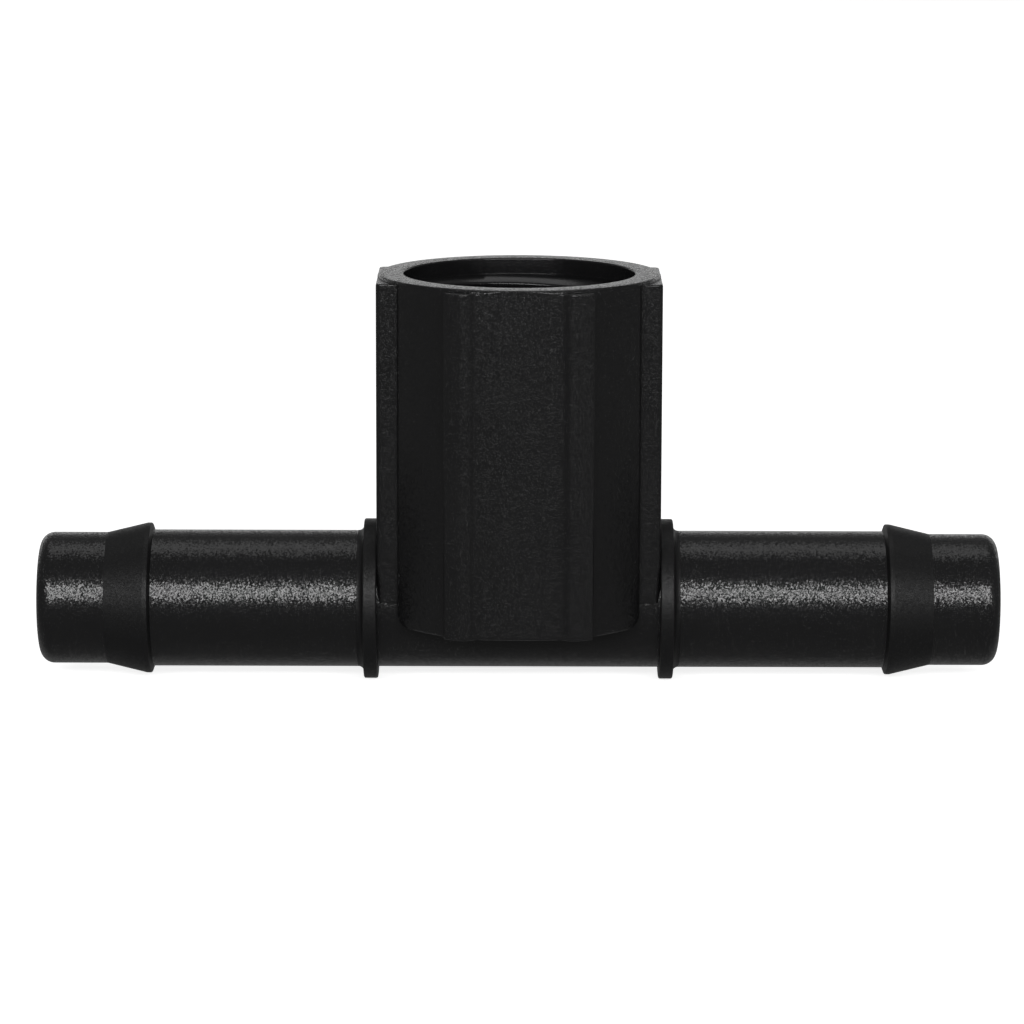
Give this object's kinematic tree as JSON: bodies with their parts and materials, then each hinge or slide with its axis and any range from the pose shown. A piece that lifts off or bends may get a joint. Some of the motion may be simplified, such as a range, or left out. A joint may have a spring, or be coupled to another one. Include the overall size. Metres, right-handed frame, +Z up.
{
  "type": "barbed tee connector",
  "caption": "Straight hose run with a barbed tail at each end and an upright riser carrying a ribbed female pipe-thread socket.",
  "frame": {"origin": "where the axis of the straight run crosses the axis of the riser", "axes": "+X along the run towards the right hose tail, +Z up the riser out of the socket mouth, +Y to the back"},
  "size_m": [0.0896, 0.0266, 0.0384],
  "materials": {
    "body_plastic": "fine spark-eroded grain, matte",
    "barb_plastic": "smoother moulded surface, satin",
    "thread_plastic": "smooth moulded thread"
  },
  "bodies": {
    "root": {"riser_base": "body_plastic", "socket_floor": "body_plastic", "socket_wall": "body_plastic", "socket_rim": "body_plastic", "socket_thread": "thread_plastic", "grip_rib_front_left": "body_plastic", "grip_rib_front_right": "body_plastic", "grip_rib_back_left": "body_plastic", "grip_rib_back_right": "body_plastic", "side_pad_left": "body_plastic", "side_pad_right": "body_plastic", "run_centre_tube": "body_plastic", "stop_collar_left": "body_plastic", "stop_collar_right": "body_plastic", "hose_tail_left": "body_plastic", "hose_tail_right": "body_plastic", "hose_barb_left": "barb_plastic", "hose_barb_right": "barb_plastic", "hose_nose_left": "body_plastic", "hose_nose_right": "body_plastic"}
  },
  "joints": []
}
